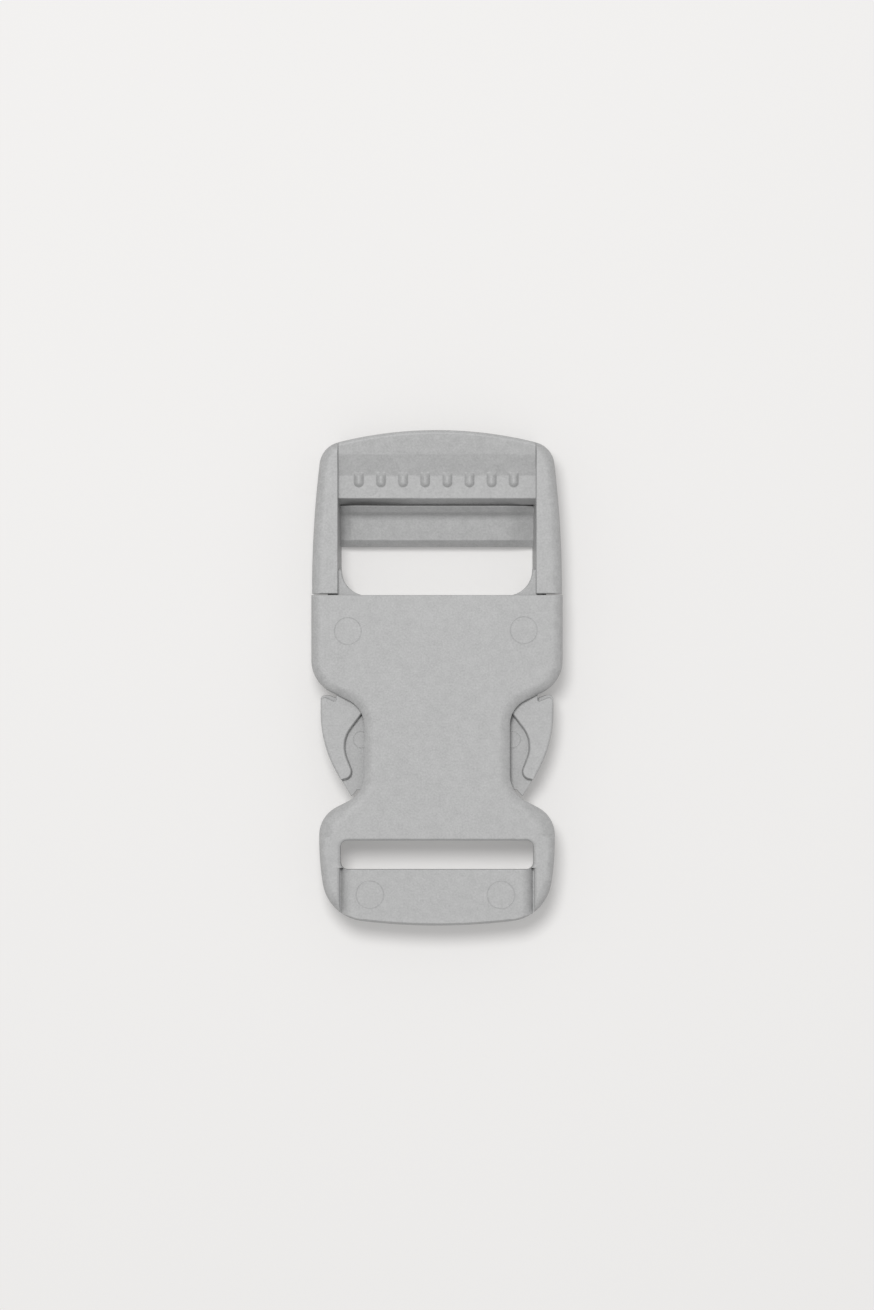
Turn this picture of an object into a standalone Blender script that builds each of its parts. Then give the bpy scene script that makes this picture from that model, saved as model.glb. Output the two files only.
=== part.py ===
"""A fastened side-release buckle for 25 mm webbing, made of two mouldings.

The plug carries a ladder-lock frame, a base, two spring arms and a centre guide. The socket is a flat
housing with a waist on each side, where the arms show, and a bar behind a slot for sewn webbing.

+X is to the right, +Y runs towards the plug's end, +Z points out of the front. The origin is at the
middle of the underside, on the surface that the buckle lies on. Sizes are in millimetres.
"""

import math

import bmesh
import bpy

MM = 0.001

# Whole buckle
HALF_LENGTH = 34.7
THICKNESS = 8.4

# How finely round stretches are divided
ARC_STEP = math.radians(10)
LONG_ARC_PIECES = 8
LONG_ARC_RADIUS = 30.0
RIM_STEPS = 3

# How far a cutter or a hidden joint runs past the form that it cuts or joins
PAST = 2.0
LAP = 0.6

# Socket: outline, plates and cavity
MOUTH_Y = 11.55
SOCKET_HALF_WIDTH = 17.6
WAIST_HALF_WIDTH = 10.2
TAIL_HALF_WIDTH = 16.5
SHOULDER = (SOCKET_HALF_WIDTH, -0.73, 5.0)
WAIST_TOP = (WAIST_HALF_WIDTH, -4.15, 3.9)
WAIST_FOOT = (WAIST_HALF_WIDTH, -16.17, 4.3)
TAIL_SHOULDER = (TAIL_HALF_WIDTH, -19.38, 4.3)
TAIL_SIDE = (TAIL_HALF_WIDTH, -25.5, 40.0)
TAIL_CORNER = (15.3, -33.5, 6.3)
TAIL_SLOPE = 0.119
SOCKET_RIM = 0.9
PLATE = 1.6
CAVITY_LOW = PLATE
CAVITY_HIGH = THICKNESS - PLATE
CAVITY_HALF_WIDTH = 15.6
CATCH_HALF_WIDTH = 14.5
CATCH_RAMP_TOP = 3.6
CATCH_RAMP_FOOT = 1.4
CATCH_ROUND = 0.8
WINDOW_TOP = -2.4
CAVITY_END_Y = -16.1

# Socket: slot and bar for the webbing
SLOT_HALF_WIDTH = 13.5
SLOT_TOP_Y = -22.75
SLOT_HEIGHT = 4.1
SLOT_CORNER = 1.0
BAR_RECESS = 0.5
BAR_HALF_WIDTH = 13.4

# Plug: frame
RAIL_LOW = 0.3
RAIL_HIGH = 8.1
RAIL_END_Y = 11.85
RAIL_RIM = 0.9
RAIL_INSIDE_LOW = 13.3
RAIL_INSIDE_HIGH = 13.9
FRAME_CORNER = (16.16, 32.41, 3.45)
FRAME_SIDE = (17.5, 21.1, 146.0)
FRAME_SLOPE = 0.25

# Plug: lip, seen from the side as height over Y
LIP_HALF_WIDTH = 13.95
LIP_EDGE_Y = 25.2
LIP_LOW = 2.4
LIP_HIGH = 7.4
LIP_RIM = 0.6
LIP_SLOPE_TOP_Y = 31.3
LIP_SLOPE_FOOT_Y = 28.56
LIP_STEP_Z = 6.3
LIP_UNDER_EDGE_Z = 4.6
LIP_PIECES = 12

# Plug: grip ribs on the lip
RIB_COUNT = 8
RIB_PITCH = 3.1
RIB_RADIUS = 0.7
RIB_SUNK = 0.25
RIB_FOOT_Y = 26.7
RIB_TOP_Y = 29.6
RIB_SIDES = 12
RIB_FOOT_PIECES = 3

# Plug: cross bar of the ladder lock
BAR_LOW_Y = 18.35
BAR_HIGH_Y = 24.15
BAR_LOW_Z = 0.8
BAR_FLAT_Z = 3.4
BAR_CHAMFER_Y = 19.5
BAR_CHAMFER_Z = 2.3
BAR_RIDGE_Y = 23.2
BAR_RIDGE_FOOT_Y = 22.8
BAR_RIDGE_Z = 4.1

# Plug: base, arms and guide, which slide between the socket's plates
TONGUE_LOW = 1.9
TONGUE_HIGH = 6.5
BASE_HALF_WIDTH = 15.3
BASE_LOW_Y = 8.2
BASE_HIGH_Y = 11.4
BASE_CORNER = 3.0
BASE_WEB_Y = 14.6
BASE_WEB_HALF_WIDTH = 13.35
BASE_FOOT_ROUND = 0.4
NECK_INSIDE = 12.0
NECK_OUTSIDE = 14.1
ARM_OUTSIDE = 16.3
ARM_BEND = (ARM_OUTSIDE, -9.41, 17.0)
PAD_NOTCH = (NECK_OUTSIDE, -3.45, 0.25)
PAD_SHOULDER = (ARM_OUTSIDE, -2.35, 0.6)
PAD_FOOT = (13.48, -14.28, 0.12)
PAD_TIP = (11.38, -14.28, 1.15)
PAD_HOLLOW = (13.53, -8.96, 4.2)
PAD_BACK = (9.3, -3.55, 0.8)
NECK_FOOT = (NECK_INSIDE, -0.4, 1.2)
FLANGE_LOW = 2.9
FLANGE_HIGH = 5.5
FLANGE_INSIDE = 8.9
FLANGE_TOP_Y = -4.4
FLANGE_END_Y = -15.7
FLANGE_POINT_Y = -16.6
FLANGE_ROUND = 0.8
FLANGE_NOTCH = (NECK_OUTSIDE - 0.3, -2.95, 0)
FLANGE_LEDGE = (15.1, -2.45, 0.5)
FLANGE_ROOT = (NECK_INSIDE + 0.4, -1.8, 0)
SLIT = 0.35
GUIDE_HALF_WIDTH = 1.6
GUIDE_END_Y = -13.0
GUIDE_ROUND = 0.8


def clear_scene():
    """Removes whatever objects the file holds."""
    for old in list(bpy.data.objects):
        bpy.data.objects.remove(old, do_unlink=True)


def plastic(name, colour):
    """A matt moulded plastic."""
    material = bpy.data.materials.new(name)
    material.use_nodes = True
    shader = material.node_tree.nodes["Principled BSDF"]
    shader.inputs["Base Color"].default_value = (*colour, 1.0)
    shader.inputs["Roughness"].default_value = 0.62
    shader.inputs["Metallic"].default_value = 0.0
    return material


def crown(neighbour, apex, slope):
    """The corner on the middle line whose round touches apex, between lines that rise from neighbour."""
    height = abs(neighbour[1]) + slope * neighbour[0]
    stretch = 1 / math.cos(math.atan(slope)) - 1
    radius = (height - abs(apex)) / stretch
    return (0.0, math.copysign(height, apex), radius)


def round_corner(before, corner, after):
    """Points of the arc that rounds one corner, given as x, y and radius; a radius of 0 keeps it sharp."""
    x, y, radius = corner
    if radius == 0:
        return [(x, y)]
    to_before = (before[0] - x, before[1] - y)
    to_after = (after[0] - x, after[1] - y)
    reach_before = math.hypot(*to_before)
    reach_after = math.hypot(*to_after)
    a = (to_before[0] / reach_before, to_before[1] / reach_before)
    b = (to_after[0] / reach_after, to_after[1] / reach_after)
    half = math.acos(max(-1.0, min(1.0, a[0] * b[0] + a[1] * b[1]))) / 2
    middle = (a[0] + b[0], a[1] + b[1])
    scale = radius / math.sin(half) / math.hypot(*middle)
    centre = (x + middle[0] * scale, y + middle[1] * scale)
    touch = radius / math.tan(half)
    start = math.atan2(y + a[1] * touch - centre[1], x + a[0] * touch - centre[0])
    turn = math.pi - 2 * half
    if a[0] * b[1] - a[1] * b[0] > 0:
        turn = -turn
    pieces = max(2, math.ceil(abs(turn) / ARC_STEP))
    if radius > LONG_ARC_RADIUS:
        pieces = LONG_ARC_PIECES
    angles = [start + turn * i / pieces for i in range(pieces + 1)]
    return [(centre[0] + radius * math.cos(t), centre[1] + radius * math.sin(t)) for t in angles]


def outline(corners):
    """A closed outline from a loop of corners, each given as x, y and the radius of its round."""
    points = []
    for i, corner in enumerate(corners):
        points += round_corner(corners[i - 1], corner, corners[(i + 1) % len(corners)])
    return points


def both_sides(right_half):
    """A loop of corners from its right half, which starts on the middle line or goes down the right side."""
    left_half = [(-x, y, r) for x, y, r in reversed(right_half) if x != 0]
    return list(right_half) + left_half


def add_object(name, mesh):
    """Links a mesh into the scene as an object of the same name."""
    piece = bpy.data.objects.new(name, mesh)
    bpy.context.scene.collection.objects.link(piece)
    return piece


def extruded(name, points, low, high, place):
    """A polygon carried from low to high; place turns a point and a height into x, y and z."""
    form = bmesh.new()
    verts = [form.verts.new([MM * c for c in place(u, v, low)]) for u, v in points]
    face = form.faces.new(verts)
    raised = bmesh.ops.extrude_face_region(form, geom=[face])["geom"]
    start = place(0.0, 0.0, low)
    end = place(0.0, 0.0, high)
    step = [MM * (b - a) for a, b in zip(start, end)]
    bmesh.ops.translate(form, vec=step, verts=[g for g in raised if isinstance(g, bmesh.types.BMVert)])
    bmesh.ops.recalc_face_normals(form, faces=form.faces)
    mesh = bpy.data.meshes.new(name)
    form.to_mesh(mesh)
    form.free()
    return add_object(name, mesh)


def loft(name, rings):
    """A closed skin through rings of points, each ring as long as the next, with flat ends."""
    form = bmesh.new()
    loops = [[form.verts.new([MM * c for c in point]) for point in ring] for ring in rings]
    for loop, following in zip(loops, loops[1:]):
        for k in range(len(loop)):
            form.faces.new((loop[k - 1], loop[k], following[k], following[k - 1]))
    form.faces.new(loops[0])
    form.faces.new(loops[-1])
    bmesh.ops.recalc_face_normals(form, faces=form.faces)
    mesh = bpy.data.meshes.new(name)
    form.to_mesh(mesh)
    form.free()
    return add_object(name, mesh)


def plate(name, corners, low, high):
    """A flat plate: the outline of the corners, from height low to height high."""
    return extruded(name, outline(corners), low, high, lambda x, y, z: (x, y, z))


def bar(name, side_points, half_width):
    """A bar across the buckle: a section given as Y and Z points, from one side to the other."""
    return extruded(name, side_points, -half_width, half_width, lambda y, z, x: (x, y, z))


def box(name, half_width, y_span, z_span):
    """A box astride the middle line, from one Y to another and from one height to another."""
    right = [(half_width, y_span[0], 0), (half_width, y_span[1], 0)]
    return plate(name, both_sides(right), *z_span)


def round_rims(piece, width):
    """Rounds the rims of a plate, the edges where its faces meet its walls."""
    bevel = piece.modifiers.new("rims", "BEVEL")
    bevel.width = width * MM
    bevel.segments = RIM_STEPS
    bevel.limit_method = "ANGLE"
    bevel.angle_limit = math.radians(50)
    bevel.use_clamp_overlap = False


def combine(piece, other, operation):
    """Joins another shape to a piece, or cuts it away, and keeps that shape out of the result."""
    other.hide_render = True
    other.display_type = "WIRE"
    boolean = piece.modifiers.new(other.name, "BOOLEAN")
    boolean.operation = operation
    boolean.solver = "EXACT"
    boolean.object = other


def cut(piece, cutter):
    """Cuts a shape away from a piece."""
    combine(piece, cutter, "DIFFERENCE")


def join(piece, part):
    """Joins a shape to a piece."""
    combine(piece, part, "UNION")


def drafted_opening():
    """The space between the rails, a little wider at the front than at the back."""
    slope = (RAIL_INSIDE_HIGH - RAIL_INSIDE_LOW) / (RAIL_HIGH - RAIL_LOW)
    low_z = RAIL_LOW - PAST
    high_z = RAIL_HIGH + PAST
    low_x = RAIL_INSIDE_LOW - slope * PAST
    high_x = RAIL_INSIDE_HIGH + slope * PAST
    section = [(-low_x, low_z), (low_x, low_z), (high_x, high_z), (-high_x, high_z)]
    return extruded("rail_gap", section, RAIL_END_Y - PAST, HALF_LENGTH + PAST, lambda x, z, y: (x, y, z))


def frame_crown():
    """The corner of the plug's gently bowed end."""
    return crown(FRAME_CORNER, HALF_LENGTH, FRAME_SLOPE)


def rails():
    """The two side rails of the ladder-lock frame, rounded outside and square inside."""
    below = RAIL_END_Y - PAST
    corners = both_sides([frame_crown(), FRAME_CORNER, FRAME_SIDE, (FRAME_SIDE[0], below, 0)])
    piece = plate("plug", corners, RAIL_LOW, RAIL_HIGH)
    round_rims(piece, RAIL_RIM)
    ends = (below - PAST, RAIL_END_Y)
    cut(piece, box("rail_ends", FRAME_SIDE[0] + PAST, ends, (-PAST, THICKNESS + PAST)))
    cut(piece, drafted_opening())
    return piece


def lip_section(end_y):
    """The lip from the side, as Y and Z points: a raised margin, a slope down, and a lower flat."""
    fall = (LIP_UNDER_EDGE_Z - LIP_LOW) / (HALF_LENGTH - LIP_EDGE_Y)
    end_low = LIP_UNDER_EDGE_Z - fall * (end_y - LIP_EDGE_Y)
    corners = [
        (LIP_EDGE_Y, LIP_UNDER_EDGE_Z, 0),
        (end_y, end_low, LIP_RIM),
        (end_y, LIP_HIGH, LIP_RIM),
        (LIP_SLOPE_TOP_Y, LIP_HIGH, 0),
        (LIP_SLOPE_FOOT_Y, LIP_STEP_Z, 0),
        (LIP_EDGE_Y, LIP_STEP_Z, 0),
    ]
    return outline(corners)


def lip():
    """The lip between the rails: its section carried along the bowed end of the frame."""
    radius = frame_crown()[2]
    reach = math.asin(LIP_HALF_WIDTH / radius)
    rings = []
    for i in range(LIP_PIECES + 1):
        angle = reach * (2 * i / LIP_PIECES - 1)
        x = radius * math.sin(angle)
        end_y = HALF_LENGTH - radius * (1 - math.cos(angle))
        rings.append([(x, y, z) for y, z in lip_section(end_y)])
    return loft("lip", rings)


def grip_rib(x):
    """One half-round rib on the lip, with a round foot, as rings from its foot to its top."""
    height = LIP_STEP_Z - RIB_SUNK
    centre_y = RIB_FOOT_Y + RIB_RADIUS
    stations = []
    for i in range(1, RIB_FOOT_PIECES + 1):
        angle = math.pi / 2 * i / RIB_FOOT_PIECES
        stations.append((centre_y - RIB_RADIUS * math.cos(angle), RIB_RADIUS * math.sin(angle)))
    stations.append((RIB_TOP_Y, RIB_RADIUS))
    rings = []
    for y, radius in stations:
        turns = [2 * math.pi * k / RIB_SIDES for k in range(RIB_SIDES)]
        rings.append([(x + radius * math.cos(t), y, height + radius * math.sin(t)) for t in turns])
    return rings


def cross_bar():
    """The bar that the webbing folds over, with a ridge beside the lip and a chamfer towards the base."""
    section = [
        (BAR_LOW_Y, BAR_LOW_Z),
        (BAR_HIGH_Y, BAR_LOW_Z),
        (BAR_HIGH_Y, BAR_RIDGE_Z),
        (BAR_RIDGE_Y, BAR_RIDGE_Z),
        (BAR_RIDGE_FOOT_Y, BAR_FLAT_Z),
        (BAR_CHAMFER_Y, BAR_FLAT_Z),
        (BAR_LOW_Y, BAR_CHAMFER_Z),
    ]
    return bar("cross_bar", section, RAIL_INSIDE_HIGH + LAP)


def base():
    """The base between the rails' ends, with rounded inner corners, which enters the socket's mouth."""
    right = [
        (BASE_WEB_HALF_WIDTH, BASE_HIGH_Y, BASE_CORNER),
        (BASE_WEB_HALF_WIDTH, BASE_WEB_Y, 0),
        (RAIL_INSIDE_HIGH + LAP, BASE_WEB_Y, 0),
        (BASE_HALF_WIDTH, RAIL_END_Y + LAP, 0),
        (BASE_HALF_WIDTH, BASE_LOW_Y, BASE_FOOT_ROUND),
    ]
    return plate("base", both_sides(right), TONGUE_LOW, TONGUE_HIGH)


def mirror_to(side, corners):
    """Corners given for the right arm, carried over to the side asked for."""
    return [(side * x, y, r) for x, y, r in corners]


def arm(side, tag):
    """A spring arm with a thick finger pad, whose inner edge is S-shaped."""
    corners = [
        (NECK_INSIDE, BASE_LOW_Y + LAP, 0),
        (NECK_OUTSIDE, BASE_LOW_Y + LAP, 0),
        PAD_NOTCH,
        PAD_SHOULDER,
        ARM_BEND,
        PAD_FOOT,
        PAD_TIP,
        PAD_HOLLOW,
        PAD_BACK,
        NECK_FOOT,
    ]
    return plate("arm_" + tag, mirror_to(side, corners), TONGUE_LOW, TONGUE_HIGH)


def beside_tail(y):
    """The point at a height y on the arc that runs beside the foot of the waist, a slit away from it."""
    radius = WAIST_FOOT[2]
    centre_x = WAIST_HALF_WIDTH + radius
    centre_y = WAIST_FOOT[1] + radius * math.tan(waist_foot_turn() / 2)
    reach = radius - SLIT
    return (centre_x - math.sqrt(reach**2 - (y - centre_y) ** 2), y, 0)


def flange(side, tag):
    """The thinner flange round the pad, which guides the arm between the plates and ends beside the tail."""
    corners = [
        FLANGE_NOTCH,
        FLANGE_LEDGE,
        PAD_SHOULDER,
        ARM_BEND,
        beside_tail(FLANGE_POINT_Y),
        beside_tail((FLANGE_POINT_Y + FLANGE_END_Y) / 2),
        beside_tail(FLANGE_END_Y),
        (FLANGE_INSIDE, FLANGE_END_Y, FLANGE_ROUND),
        (FLANGE_INSIDE, FLANGE_TOP_Y, FLANGE_ROUND),
        FLANGE_ROOT,
    ]
    return plate("flange_" + tag, mirror_to(side, corners), FLANGE_LOW, FLANGE_HIGH)


def waist_foot_turn():
    """How far the outline turns at the foot of the waist."""
    run = TAIL_SHOULDER[0] - WAIST_FOOT[0]
    fall = WAIST_FOOT[1] - TAIL_SHOULDER[1]
    return math.atan2(run, fall)


def guide():
    """The stiff guide between the arms."""
    right = [(GUIDE_HALF_WIDTH, BASE_LOW_Y + LAP, 0), (GUIDE_HALF_WIDTH, GUIDE_END_Y, GUIDE_ROUND)]
    return plate("guide", both_sides(right), TONGUE_LOW, TONGUE_HIGH)


def make_plug():
    """The plug as one moulding."""
    piece = rails()
    join(piece, lip())
    for i in range(RIB_COUNT):
        x = (i - (RIB_COUNT - 1) / 2) * RIB_PITCH
        join(piece, loft(f"grip_rib_{i + 1}", grip_rib(x)))
    join(piece, cross_bar())
    join(piece, base())
    join(piece, guide())
    for side, tag in ((1, "right"), (-1, "left")):
        join(piece, arm(side, tag))
        join(piece, flange(side, tag))
    piece.data.materials.append(plastic("plug_plastic", (0.46, 0.46, 0.46)))
    return piece


def housing():
    """The socket's outer form: plates with a waist, and a tail."""
    above = MOUTH_Y + PAST
    right = [
        (SOCKET_HALF_WIDTH, above, 0),
        SHOULDER,
        WAIST_TOP,
        WAIST_FOOT,
        TAIL_SHOULDER,
        TAIL_SIDE,
        TAIL_CORNER,
        crown(TAIL_CORNER, -HALF_LENGTH, TAIL_SLOPE),
    ]
    piece = plate("socket", both_sides(right), 0.0, THICKNESS)
    round_rims(piece, SOCKET_RIM)
    mouth = (MOUTH_Y, above + PAST)
    cut(piece, box("above_mouth", SOCKET_HALF_WIDTH + PAST, mouth, (-PAST, THICKNESS + PAST)))
    return piece


def cavity():
    """The space between the plates: a wide mouth, catches for the arms, and windows at the waist."""
    outside = SOCKET_HALF_WIDTH + PAST
    right = [
        (CAVITY_HALF_WIDTH, MOUTH_Y + PAST, 0),
        (CAVITY_HALF_WIDTH, CATCH_RAMP_TOP, CATCH_ROUND),
        (CATCH_HALF_WIDTH, CATCH_RAMP_FOOT, CATCH_ROUND),
        (CATCH_HALF_WIDTH, WINDOW_TOP, 0),
        (outside, WINDOW_TOP, 0),
        (outside, CAVITY_END_Y, 0),
    ]
    return plate("cavity", both_sides(right), CAVITY_LOW, CAVITY_HIGH)


def webbing_slot():
    """The slot that webbing is sewn through."""
    right = [
        (SLOT_HALF_WIDTH, SLOT_TOP_Y, SLOT_CORNER),
        (SLOT_HALF_WIDTH, SLOT_TOP_Y - SLOT_HEIGHT, SLOT_CORNER),
    ]
    return plate("webbing_slot", both_sides(right), -PAST, THICKNESS + PAST)


def make_socket():
    """The socket as one moulding."""
    piece = housing()
    cut(piece, cavity())
    cut(piece, webbing_slot())
    bar_top_y = SLOT_TOP_Y - SLOT_HEIGHT
    recess_y = (-HALF_LENGTH - PAST, bar_top_y + SLOT_CORNER)
    cut(piece, box("bar_recess", BAR_HALF_WIDTH, recess_y, (THICKNESS - BAR_RECESS, THICKNESS + PAST)))
    piece.data.materials.append(plastic("socket_plastic", (0.48, 0.48, 0.48)))
    return piece


def main():
    clear_scene()
    make_plug()
    make_socket()


main()
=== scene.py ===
"""A fastened side-release buckle for 25 mm webbing, dressed with its rounded edges, marks and plastic.

Two mouldings: the plug with its ladder lock, arms and pads, and the waisted socket with its slot.
Sizes are in millimetres until a mesh is made. +Y runs towards the lip, +Z out of the front. The
patterns in the plastic, the light and the camera are in metres.
"""

import math

import bpy
import numpy as np
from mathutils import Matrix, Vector


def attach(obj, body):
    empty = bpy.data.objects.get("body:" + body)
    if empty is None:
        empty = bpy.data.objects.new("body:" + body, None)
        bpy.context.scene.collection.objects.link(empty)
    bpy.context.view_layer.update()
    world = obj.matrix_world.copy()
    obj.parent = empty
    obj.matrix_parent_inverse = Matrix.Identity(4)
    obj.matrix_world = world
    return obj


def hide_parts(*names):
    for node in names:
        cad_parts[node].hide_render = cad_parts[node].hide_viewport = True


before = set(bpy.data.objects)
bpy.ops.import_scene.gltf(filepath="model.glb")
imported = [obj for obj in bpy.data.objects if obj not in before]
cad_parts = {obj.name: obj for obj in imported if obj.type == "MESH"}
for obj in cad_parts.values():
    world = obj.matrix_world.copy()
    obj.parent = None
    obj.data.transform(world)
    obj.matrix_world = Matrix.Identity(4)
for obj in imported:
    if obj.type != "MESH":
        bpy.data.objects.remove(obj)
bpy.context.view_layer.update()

MM = 0.001
TINY = 1e-9

# Whole buckle
HALF_LENGTH = 34.7
THICKNESS = 8.4

# How finely shapes are divided
ARC_STEP = math.radians(4)
PITCH = 0.8
BAR_PITCH = 1.0
SLOT_PITCH = 3.0
CUTTER_PITCH = 5.0
RIM_STEPS = 10
EDGE_STEPS = 6
INSIDE_EDGE_STEPS = 4
BAR_STATIONS = 73
RING_STEPS = 96
LINE_STEPS = 16

# Cuts and joins
PAST = 2.0  # how far a cutter runs past what it cuts
LAP = 0.6  # how far joined shapes overlap
STEP_BACK = 0.04  # how far a face steps back from its neighbour's, so that no two coincide

# Shading
SHARP_ANGLE = 13  # an edge that turns by more degrees than this stays crisp
FACE_WEIGHT = 100  # large faces lead the shading of the narrow ones beside them

# Rims
RIM_DROP = 1.4  # the most that a front rim drops, if its corner gives no depth
BACK_RIM = 0.9
FLAT_MARGIN = 0.25  # the flat ring inside a rim

# Socket, with its corners as x, y, radius, rim width and, where it isn't as wide, rim depth
MOUTH_Y = 11.6
MOUTH_ROUND = 0.12
SOCKET_HALF_WIDTH = 17.6
SOCKET_RIM = 1.4
WAIST_HALF_WIDTH = 10.2
TAIL_HALF_WIDTH = 16.5
SHOULDER = (SOCKET_HALF_WIDTH, -0.73, 5.0, SOCKET_RIM)
WAIST_TOP = (WAIST_HALF_WIDTH, -4.15, 3.9, 1.5, 0.7)
WAIST_FOOT = (WAIST_HALF_WIDTH, -16.17, 4.3, 1.5, 0.65)
TAIL_SHOULDER = (TAIL_HALF_WIDTH, -19.38, 4.3, 2.3)
TAIL_SIDE = (TAIL_HALF_WIDTH, -25.5, 40.0, 1.0)
TAIL_CORNER = (15.3, -33.5, 6.3, 1.3)
TAIL_SLOPE = 0.119
TAIL_END_RIM = 1.4
BACK_PLATE = 1.6
FRONT_PLATE = 1.3
CAVITY_LOW = BACK_PLATE
CAVITY_HIGH = THICKNESS - FRONT_PLATE
CAVITY_HALF_WIDTH = 15.6
CATCH_HALF_WIDTH = 14.5
CATCH_RAMP_TOP = 3.6
CATCH_RAMP_FOOT = 1.4
CATCH_ROUND = 0.8
WINDOW_TOP = -2.4
CAVITY_END_Y = -16.1
SLOT_HALF_WIDTH = 13.5
SLOT_TOP_Y = -22.75
SLOT_HEIGHT = 4.1
SLOT_CORNER = 1.0
SLOT_EDGE = 0.35
SLOT_END_EDGE = 0.55

# Recess over the tail's bar
RECESS_DEPTH = 0.5
RECESS_LAP = 0.25  # how far the recess's cutter runs into the slot
RECESS_HALF_WIDTH = 13.6
RECESS_FLAT_HALF_WIDTH = 13.07
RECESS_DIP = 1.2
RECESS_END_ROUND = 1.9
RECESS_DIP_ROUND = 0.12
RECESS_EDGE = 0.5

# Plug frame
RAIL_LOW = 0.3
RAIL_HIGH = 8.1
RAIL_END_Y = 11.8
RAIL_END_ROUND = 0.15
RAIL_RIM = 1.4
RAIL_INSIDE_LOW = 13.4
RAIL_INSIDE_HIGH = 13.9
RAIL_INSIDE_EDGE = 0.15
FRAME_CORNER = (16.16, 32.41, 3.45, RAIL_RIM)
FRAME_SIDE = (17.5, 21.1, 146.0, RAIL_RIM)
FRAME_SLOPE = 0.25
FRAME_END_RIM = 0.7

# Lip of the plug, seen from the side as height over Y, with a round at each corner of its section
LIP_HALF_WIDTH = 13.83
LIP_EDGE_Y = 25.15
LIP_NOSE_Y = 24.24
LIP_LOW = 2.4
LIP_END_Z = 8.25
LIP_HIGH = 7.78
LIP_SLOPE_TOP_Y = 31.3
LIP_SLOPE_FOOT_Y = 28.35
LIP_STEP_Z = 6.75
LIP_FRONT_Z = 6.65
LIP_UNDER_EDGE_Z = 4.85
LIP_RIM = 0.5
LIP_NOSE_ROUND = 0.1
LIP_SLOPE_TOP_ROUND = 0.6
LIP_SLOPE_FOOT_ROUND = 0.8
LIP_EDGE_ROUND = 0.2

# Bow and nose of the lip, whose nose drops further towards the rails
LIP_BOW_START = 0.5  # how far beyond the slope the lip begins to follow the end's bow
NOSE_DROP_LEFT = 1.35
NOSE_DROP_RIGHT = 0.35
NOSE_DROP_START_X = 3.0
NOSE_LEFT_FULL_X = 10.0
NOSE_RIGHT_FULL_X = 13.0

# How finely the lip is divided, and where the ribs may raise it
LIP_PITCH = 0.5
LIP_FRONT_PITCH = 0.09
LIP_FINE_BELOW = 0.1  # a stretch so far below the front's flat is still divided as finely
LIP_FRONT_BELOW = 0.05  # a point so far below it is still raised
LIP_BARE_STRIP = 0.25  # the strip beside the edge that is never raised

# Grip ribs
RIB_COUNT = 8
RIB_PITCH = 3.1
RIB_SHIFT = -0.1
RIB_HALF_WIDTH = 0.69
RIB_HEIGHT = 0.55
RIB_FOOT_Y = 26.7
RIB_TOP_Y = 28.85
RIB_FADE = 0.55

# Cross bar, with its dips beside the rails
BAR_LOW_Y = 18.35
BAR_HIGH_Y = 24.12
BAR_FOOT_Y = 25.3
BAR_FOOT_Z = 3.1
BAR_LOW_Z = 0.8
BAR_FLAT_Z = 3.5
BAR_CHAMFER_Y = 19.3
BAR_CHAMFER_TOP_Z = 2.95
BAR_CHAMFER_Z = 1.95
BAR_RIDGE_Y = 23.2
BAR_RIDGE_FOOT_Y = 22.58
BAR_RIDGE_FOOT_ROUND = 1.27
BAR_RIDGE_Z = 4.57
BAR_RIDGE_TOP_Z = 5.7
BAR_RIDGE_TOP_ROUND = 0.04
BAR_UNDER_ROUND = 0.3
BAR_LOW_EDGE_ROUND = 0.15
BAR_ROUND = 0.2
BAR_LEFT_DIP_X = -11.5
BAR_RIGHT_DIP_X = 9.5
BAR_DIP_BEND = 0.4  # the share of a dip over which it bends, before it runs straight
BAR_END_SHARE = 0.45  # the share of the bar's height that is left at the rails

# Tongue: base, arms with pads, flanges and guide
TONGUE_LOW = 1.9
TONGUE_HIGH = 6.85
TONGUE_BACK_RIM = 0.2
BASE_HALF_WIDTH = 15.3
BASE_LOW_Y = 8.2
BASE_HIGH_Y = 11.52
BASE_WEB_Y = 15.2
BASE_WEB_HALF_WIDTH = 13.35
BASE_CORNER = 3.6
BASE_END_CORNER = 0.4
BASE_RIM = 0.2
NECK_INSIDE = 12.0
NECK_OUTSIDE = 14.1
NECK_RIM = 0.15
NECK_FOOT = (NECK_OUTSIDE, -3.45, 0.25, 0.12)
PAD_OUTSIDE = 16.3
PAD_SHOULDER = (PAD_OUTSIDE, -2.35, 0.6, 0.25)
PAD_SIDE = (PAD_OUTSIDE, -9.41, 17.0, 0.3)
PAD_POINT = (13.48, -14.28, 0.12, 0.1)
PAD_TOE = (11.38, -14.28, 1.15, 0.3, 0.9)
PAD_HOLLOW = (13.37, -8.96, 4.2, 0.34, 1.02)
PAD_HEEL = (9.3, -3.55, 0.8, 0.3, 0.9)
NECK_INNER_FOOT = (NECK_INSIDE, -0.4, 1.2, NECK_RIM)
FLANGE_LOW = 2.9
FLANGE_HIGH = 5.8
FLANGE_RIM = 0.1
FLANGE_SIDE_RIM = 0.15
FLANGE_INSIDE = 8.9
FLANGE_POINT_Y = -16.6
FLANGE_END_Y = -15.7
FLANGE_START = (NECK_OUTSIDE - 0.3, -2.95, 0, FLANGE_RIM)
FLANGE_SHOULDER = (15.1, -2.45, 0.5, FLANGE_RIM)
FLANGE_TOE = (FLANGE_INSIDE, FLANGE_END_Y, 0.8, FLANGE_RIM)
FLANGE_HEEL = (FLANGE_INSIDE, -4.4, 0.8, FLANGE_RIM)
FLANGE_ROOT = (NECK_INSIDE + 0.4, -1.8, 0, FLANGE_RIM)
SLIT = 0.35  # between the flange's end and the tail
GUIDE_HALF_WIDTH = 1.6
GUIDE_END_Y = -13.0
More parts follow.
